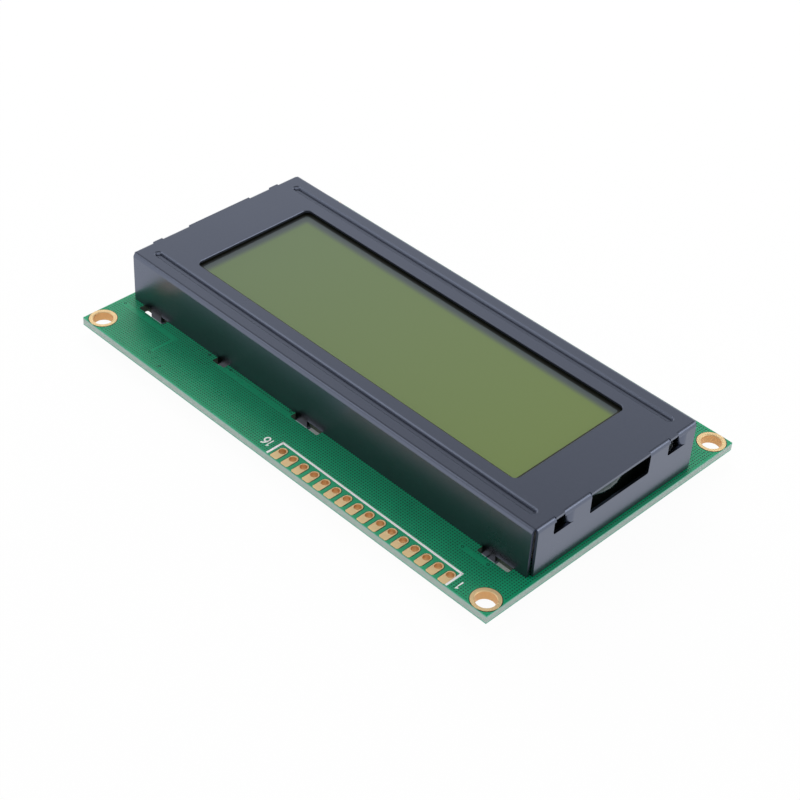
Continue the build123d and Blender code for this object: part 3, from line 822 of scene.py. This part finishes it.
def driver_links(places):
    """Arches of nested tracks from each driver to the next."""
    count = 6
    first_offset, offset_step, first_level, level_step, ease = mm(5.3, 0.62, 7.1, 0.6, 0.8)
    routes = []
    for ((left_x, left_y), radius), ((right_x, _), _) in zip(places, places[1:]):
        for k in range(count):
            offset = first_offset - offset_step * k
            level = left_y + first_level + level_step * k
            foot = left_y + under_rim(radius, offset)
            start_x = left_x + offset
            end_x = right_x - offset
            routes.append(eased([(start_x, foot), (start_x, level), (end_x, level), (end_x, foot)], ease))
    return routes


def driver_fans(places):
    """Tracks that fan out from each driver to two rows of vias near the contact fingers."""
    count = 14
    start_pitch, end_pitch, bend_y = mm(0.78, 1.34, -13.0)
    via_rows = mm(-14.5, -15.6)
    bend_lean = 0.1
    routes = []
    for (centre_x, centre_y), radius in places:
        for k in range(count):
            rank = k - (count - 1) / 2
            offset = rank * start_pitch
            start = (centre_x + offset, centre_y - under_rim(radius, offset))
            bend = (centre_x + offset, bend_y - abs(offset) * bend_lean)
            routes.append([start, bend, (centre_x + rank * end_pitch, via_rows[k % 2])])
    return routes


def ladder_tracks():
    """Controller to the column of resistors, and the links from each resistor to the next."""
    (hub_x, hub_y), radius = dome_of("controller_dome")
    first_rung, pitch, first_start, start_pitch = mm(4.4, 2.4, 6.0, 1.7)
    turn_in, turn_out, resistor_x = mm(0.5, 2.5, 6.7)
    rungs = [first_rung + pitch * k for k in range(len(LYING_CHIPS))]
    routes = []
    for k, rung in enumerate(rungs):
        start_y = first_start + start_pitch * k
        start_x = hub_x + under_rim(radius, start_y - hub_y)
        routes.append([(start_x, start_y), (turn_in, start_y), (turn_out, rung), (resistor_x, rung)])
    near, far, bend = mm(9.4, 10.6, 0.6)
    for rung in rungs[:-1]:
        routes.append([(near, rung), (far, rung + bend), (far, rung + pitch - bend), (near, rung + pitch)])
    return routes


def supply_tracks(sizes):
    """Supply tracks on the back, from the header's end to the jumpers and the backlight pins."""
    light_x, light_y = (Vector(LIGHT_PINS_LOW) + Vector(LIGHT_PINS_HIGH)).xy / 2
    last_x, pin_y = pin_place(sizes, sizes.pin_count)
    header_end, light_reach, side_x = mm(2.0, 5.0, 46.2)
    turn_start, turn_end, side_end = mm(-12.0, -15.0, -20.0)
    first_jumper, last_jumper = mm(13.2, 24.2), mm(38.8, 24.0)
    header_ease, upper_ease, lower_ease = mm(0.9, 1.2, 0.8)
    upper, lower = (light_y + side * light_reach for side in (1, -1))
    from_header = [(last_x, pin_y), (last_x + header_end, pin_y), (first_jumper[0], pin_y), first_jumper]
    to_light = [last_jumper, (side_x, last_jumper[1]), (side_x, upper), (light_x, upper)]
    from_light = [(light_x, lower), (light_x, turn_start), (side_x, turn_end), (side_x, side_end)]
    from_header = eased(from_header, header_ease)
    return [from_header, *JUMPER_LINKS, eased(to_light, upper_ease), eased(from_light, lower_ease)]


def chip_outlines():
    """White rectangles round the chips."""
    lying_half = mm(1.9, 0.95)
    corners = ((-1, -1), (1, -1), (1, 1), (-1, 1), (-1, -1))
    routes = []
    for chips, (half_x, half_y) in ((LYING_CHIPS, lying_half), (STANDING_CHIPS, lying_half[::-1])):
        for chip_x, chip_y in chips:
            routes.append([(chip_x + half_x * across, chip_y + half_y * along) for across, along in corners])
    return routes


def dome_rings():
    """White rings round the domes."""
    gap = 0.55 * MM
    return [(centre, radius + gap) for centre, radius in map(dome_of, DOMES)]


def raised_vias(name, places, level, facing, sizes, material):
    """Masked vias: a low rim with a dimple, modelled once and copied."""
    dimple_wall, dimple_depth, dimple_ease = mm(0.05, 0.06, 0.04)
    rim = sizes.via_radius - sizes.via_bore - dimple_ease
    crease = math.radians(50)
    upward = 0.9
    start_fresh()
    bpy.ops.mesh.primitive_cylinder_add(vertices=16, radius=sizes.via_radius, depth=2 * sizes.track_rise)
    pattern = bpy.context.object
    bpy.ops.object.mode_set(mode="EDIT")
    bpy.ops.mesh.select_mode(type="FACE")
    select_faces(pattern, lambda face: face.normal.z > upward)
    bpy.ops.mesh.inset(thickness=rim, depth=0.0)
    bpy.ops.mesh.inset(thickness=dimple_wall, depth=-dimple_depth)
    bpy.ops.object.mode_set(mode="OBJECT")
    if facing < 0:
        pattern.rotation_euler = (math.pi, 0, 0)
        bpy.ops.object.transform_apply(location=False, rotation=True, scale=False)
    copies = []
    for x, y in places:
        copy = pattern.copy()
        copy.data = pattern.data.copy()
        copy.location = (x, y, level)
        bpy.context.scene.collection.objects.link(copy)
        copies.append(copy)
    bpy.data.objects.remove(pattern)
    start_fresh()
    for copy in copies:
        copy.select_set(True)
    bpy.context.view_layer.objects.active = copies[0]
    bpy.ops.object.join()
    bpy.ops.object.shade_smooth_by_angle(angle=crease)
    keep(bpy.context.object, name, material)


def select_faces(piece, wanted):
    """In edit mode, selects only the faces for which wanted is true."""
    bpy.ops.mesh.select_all(action="DESELECT")
    bpy.ops.object.mode_set(mode="OBJECT")
    for face in piece.data.polygons:
        face.select = bool(wanted(face))
    bpy.ops.object.mode_set(mode="EDIT")


def turned_drop(centre, rings, waves):
    """A drop that hangs from the board's back: rings of (radius, depth), then a closed crown."""
    start_fresh()
    radius, depth = rings[0]
    bpy.ops.mesh.primitive_circle_add(vertices=48, radius=radius, fill_type="NGON", location=(*centre, 0.0))
    piece = bpy.context.object
    bpy.ops.object.mode_set(mode="EDIT")
    bpy.ops.mesh.select_mode(type="FACE")
    bpy.ops.mesh.select_all(action="SELECT")
    for next_radius, next_depth in rings[1:]:
        bpy.ops.mesh.extrude_region_move(TRANSFORM_OT_translate={"value": (0, 0, depth - next_depth)})
        share = next_radius / radius
        bpy.ops.transform.resize(value=(share, share, 1), center_override=(*centre, -next_depth))
        radius, depth = next_radius, next_depth
    bpy.ops.mesh.poke(offset=0.0)
    bpy.ops.mesh.select_all(action="SELECT")
    bpy.ops.mesh.normals_make_consistent(inside=False)
    bpy.ops.object.mode_set(mode="OBJECT")
    smooth = piece.modifiers.new("smooth", "SUBSURF")
    smooth.levels = 1
    smooth.render_levels = 1
    bpy.ops.object.modifier_apply(modifier="smooth")
    for vertex in piece.data.vertices:
        turn = math.atan2(vertex.co.y, vertex.co.x)
        swell = 1.0 + sum(size * math.sin(count * turn + start) for size, count, start in waves)
        vertex.co.x *= swell
        vertex.co.y *= swell
    bpy.ops.object.shade_smooth()
    return piece


class LCD_OT_board(bpy.types.Operator):
    """Mask, hatch, tracks and vias of the circuit board"""

    bl_idname = "lcd_module.board"
    bl_label = "Circuit board"

    def execute(self, context):
        sizes = context.scene.lcd_board
        colours = context.scene.lcd_colours
        paint(["circuit_board"], board_finish(sizes, colours))
        track = mask_on_track(colours)
        via = plastic_finish(*VIA_MASK)
        front = BOARD_HIGH.z
        back = 0.0
        strips = [((low, y), (high, y)) for low, high, y in FRONT_STRIPS] + [FRONT_DROP]
        draw_lines("front_strips", strips, sizes.strip_width, sizes.strip_rise, front, track)
        raised_vias("front_vias", FRONT_VIAS, front, 1, sizes, via)
        drivers = [dome_of(name) for name in DRIVERS]
        fans = driver_fans(drivers)
        signals = header_tracks(sizes) + driver_links(drivers) + fans + ladder_tracks()
        draw_lines("back_tracks", signals, sizes.track_width, sizes.track_rise, back, track)
        supply = supply_tracks(sizes)
        draw_lines("back_supply_tracks", supply, sizes.power_width, sizes.track_rise, back, track)
        raised_vias("back_vias", [route[-1] for route in fans], back, -1, sizes, via)
        return {"FINISHED"}


class LCD_OT_print(bpy.types.Operator):
    """White print on both faces of the board"""

    bl_idname = "lcd_module.white_print"
    bl_label = "White print"

    def execute(self, context):
        sizes = context.scene.lcd_board
        ink = print_finish(context.scene.lcd_colours)
        rise = sizes.print_rise
        front = BOARD_HIGH.z
        draw_lines("header_bracket", bracket_routes(sizes), sizes.print_width, rise, front, ink)
        draw_lines("header_numbers", digit_routes(sizes), sizes.digit_width, rise, front, ink)
        draw_lines("back_outlines", chip_outlines(), sizes.outline_width, rise, 0.0, ink, dome_rings())
        return {"FINISHED"}


class LCD_OT_gold(bpy.types.Operator):
    """Gold plating of the rings, pads and contact fingers"""

    bl_idname = "lcd_module.gold"
    bl_label = "Gold plating"

    def execute(self, context):
        plated = ["mounting_rings", "header_pads", "jumper_pads", "backlight_pads"]
        plated += ["contact_fingers_header_side", "contact_fingers_far_side"]
        paint(plated, gold_finish(context.scene.lcd_colours))
        return {"FINISHED"}


class LCD_OT_bezel(bpy.types.Operator):
    """Black coating of the folded bezel"""

    bl_idname = "lcd_module.bezel"
    bl_label = "Bezel"

    def execute(self, context):
        paint(["bezel"], black_steel_finish(context.scene.lcd_colours))
        return {"FINISHED"}


class LCD_OT_cell(bpy.types.Operator):
    """Films, glass and seals of the display cell"""

    bl_idname = "lcd_module.cell"
    bl_label = "Display cell"

    def execute(self, context):
        colours = context.scene.lcd_colours
        paint(["front_polariser"], film_finish(context.scene.lcd_display, colours))
        paint(["front_glass", "rear_glass"], glass_finish(colours))
        paint(["port_seal"], sealant_finish(colours))
        paint_plain("perimeter_seal", "rear_polariser")
        return {"FINISHED"}


class LCD_OT_strips(bpy.types.Operator):
    """Layered rubber of the connector strips"""

    bl_idname = "lcd_module.strips"
    bl_label = "Connector strips"

    def execute(self, context):
        strips = ["connector_strip_header_side", "connector_strip_far_side"]
        paint(strips, strip_finish(context.scene.lcd_colours))
        return {"FINISHED"}


class LCD_OT_backlight(bpy.types.Operator):
    """Finishes of the backlight's pieces"""

    bl_idname = "lcd_module.backlight"
    bl_label = "Backlight"

    def execute(self, context):
        paint(["backlight_housing"], housing_finish(context.scene.lcd_colours))
        paint_plain("backlight_board", "backlight_diffuser", "backlight_leds")
        return {"FINISHED"}


class LCD_OT_domes(bpy.types.Operator):
    """Resin domes on the back, with a slightly uneven rim"""

    bl_idname = "lcd_module.domes"
    bl_label = "Resin domes"

    def execute(self, context):
        resin = resin_finish(context.scene.lcd_colours)
        rim_inset, crown_radius = mm(0.12, 0.3)
        for number, name in enumerate(DOMES):
            centre, radius = dome_of(name)
            depth = -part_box(name)[0].z
            edge = radius - rim_inset
            rings = [(edge - inset * MM, share * depth) for inset, share in DOME_PROFILE]
            waves = [(size, count, shift * number) for size, count, shift in DOME_WAVES]
            piece = turned_drop(centre, [*rings, (crown_radius, depth)], waves)
            keep(piece, name + "_resin", resin, [name])
        return {"FINISHED"}


class LCD_OT_solder(bpy.types.Operator):
    """Solder joints, tinned pins and chips on the back"""

    bl_idname = "lcd_module.solder"
    bl_label = "Solder and chips"

    def execute(self, context):
        tinned = ["backlight_pins", "backlight_solder", "resistor_ends", "capacitor_ends"]
        paint(tinned, solder_finish(context.scene.lcd_colours))
        for name, (glaze, base) in CERAMICS.items():
            paint([name], ceramic_finish(glaze, base))
        return {"FINISHED"}


class LCD_OT_studio(bpy.types.Operator):
    """Floor, world, lamps and camera"""

    bl_idname = "lcd_module.studio"
    bl_label = "Studio"

    def execute(self, context):
        studio = context.scene.lcd_studio
        set_world(context.scene, studio.ambient)
        add_floor(studio.floor_size, CAD_BOX[0].z, floor_finish(context.scene.lcd_colours))
        for name, place, side, setting, share, mirrored in LAMPS:
            add_lamp(name, place, side, share * getattr(studio, setting), mirrored)
        add_camera(context.scene, studio)
        context.scene.view_settings.view_transform = "Standard"
        return {"FINISHED"}


def seen_directly(bench):
    """1 on camera, glossy and transmission rays, and 0 on the rest."""
    path = bench.add("ShaderNodeLightPath").outputs
    seen = bench.maths("MAXIMUM", path["Is Camera Ray"], path["Is Glossy Ray"])
    return bench.maths("MAXIMUM", seen, path["Is Transmission Ray"])


def mirrored_level(bench):
    """1 where the world is seen; in mirrored rays it falls off towards the zenith, as a lit tent does."""
    wall_top, roof_start, roof_level = 0.54, 0.70, 0.32
    fall = bench.ramp(bench.split()[2], wall_top, roof_start, 1.0, roof_level)
    mirrored = bench.add("ShaderNodeLightPath").outputs["Is Glossy Ray"]
    return bench.mix(mirrored, 1.0, fall, "FLOAT")


def set_world(scene, ambient):
    """White where it is seen or mirrored, and an even grey light on the object."""
    bench = NodeBench("studio", world=True)
    white = (1.0, 1.0, 1.0, 1.0)
    seen = bench.add("ShaderNodeBackground")
    bench.feed(seen, (("Color", white), ("Strength", mirrored_level(bench))))
    bench.show_over(seen, seen_directly(bench), "World Output")
    scene.world = bench.finish(Color=white, Strength=ambient)


def open_floor(bench):
    """Share of the floor's own white: low in the deep shade under the bezel, high everywhere else."""
    x, y, _ = bench.split()
    blur = 0.5 * MM
    near = []
    end_light, side_light = mm(4.5, 0.7)
    for value, reach in ((x, BEZEL_HIGH.x - end_light), (y, BEZEL_HIGH.y - side_light)):
        near.append(bench.ramp(bench.maths("ABSOLUTE", value), reach - blur, reach, 1.0, 0.0))
    open_share, shaded_share = 0.96, 0.12
    return bench.ramp(bench.times(*near), 0.0, 1.0, open_share, shaded_share)


def floor_finish(colours):
    """Paper that reads white and keeps a soft shadow of the object."""
    bench = NodeBench("white_floor")
    glow = bench.add("ShaderNodeEmission")
    bench.link(1.0, glow.inputs["Strength"])
    bench.show_over(glow, bench.times(seen_directly(bench), open_floor(bench)), "Material Output")
    return bench.finish(Base_Color=colours.floor, Roughness=0.9)


def add_floor(side, level, material):
    """Square floor at the object's foot."""
    start_fresh()
    bpy.ops.mesh.primitive_plane_add(size=side, location=(0, 0, level))
    floor = bpy.context.object
    bpy.ops.object.transform_apply(location=True, rotation=True, scale=True)
    floor.name = "floor"
    floor.data.materials.append(material)


def add_lamp(name, place, side, power, mirrored):
    """Square soft box that faces the module, with or without its mirror image in the metal."""
    start_fresh()
    bpy.ops.object.light_add(type="AREA", location=place)
    lamp = bpy.context.object
    lamp.name = name
    lamp.data.shape = "SQUARE"
    lamp.data.size = side
    lamp.data.energy = power
    lamp.visible_glossy = mirrored
    lamp.rotation_euler = (-Vector(place)).to_track_quat("-Z", "Y").to_euler()


def add_camera(scene, studio):
    """Camera at the viewing angle of the picture."""
    start_fresh()
    bpy.ops.object.camera_add()
    camera = bpy.context.object
    camera.name = "camera"
    right = Vector(studio.camera_right).normalized()
    up = Vector(studio.camera_up).normalized()
    back = right.cross(up).normalized()
    up = back.cross(right)
    turned = Matrix((right, up, back)).transposed().to_4x4()
    camera.matrix_world = Matrix.Translation(studio.camera_place) @ turned
    camera.data.sensor_width = 36.0
    camera.data.lens = studio.camera_lens
    camera.data.clip_start = 0.01
    camera.data.clip_end = 20.0
    scene.camera = camera
    start_fresh()


OPERATORS = (
    LCD_OT_board, LCD_OT_print, LCD_OT_gold, LCD_OT_bezel, LCD_OT_cell,
    LCD_OT_strips, LCD_OT_backlight, LCD_OT_domes, LCD_OT_solder, LCD_OT_studio,
)
GROUPS = {
    "lcd_board": BoardSizes,
    "lcd_display": DisplaySizes,
    "lcd_colours": ModuleColours,
    "lcd_studio": StudioSettings,
}


class LCD_PT_panel(bpy.types.Panel):
    """Buttons for each group of pieces, with the values they use"""

    bl_idname = "LCD_PT_panel"
    bl_label = "LCD module"
    bl_space_type = "VIEW_3D"
    bl_region_type = "UI"
    bl_category = "LCD module"

    def draw(self, context):
        for operator in OPERATORS:
            self.layout.operator(operator.bl_idname)
        for name in GROUPS:
            group = getattr(context.scene, name)
            column = self.layout.column(align=True)
            for key in group.bl_rna.properties.keys():
                if key not in ("rna_type", "name"):
                    column.prop(group, key)


CLASSES = (*GROUPS.values(), *OPERATORS, LCD_PT_panel)


def register():
    for made in CLASSES:
        bpy.utils.register_class(made)
    for name, group in GROUPS.items():
        setattr(bpy.types.Scene, name, PointerProperty(type=group))


def unregister():
    for name in GROUPS:
        delattr(bpy.types.Scene, name)
    for made in reversed(CLASSES):
        bpy.utils.unregister_class(made)


def main():
    """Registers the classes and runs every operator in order."""
    register()
    for operator in OPERATORS:
        group, name = operator.bl_idname.split(".")
        getattr(getattr(bpy.ops, group), name)()


if __name__ == "__main__":
    main()
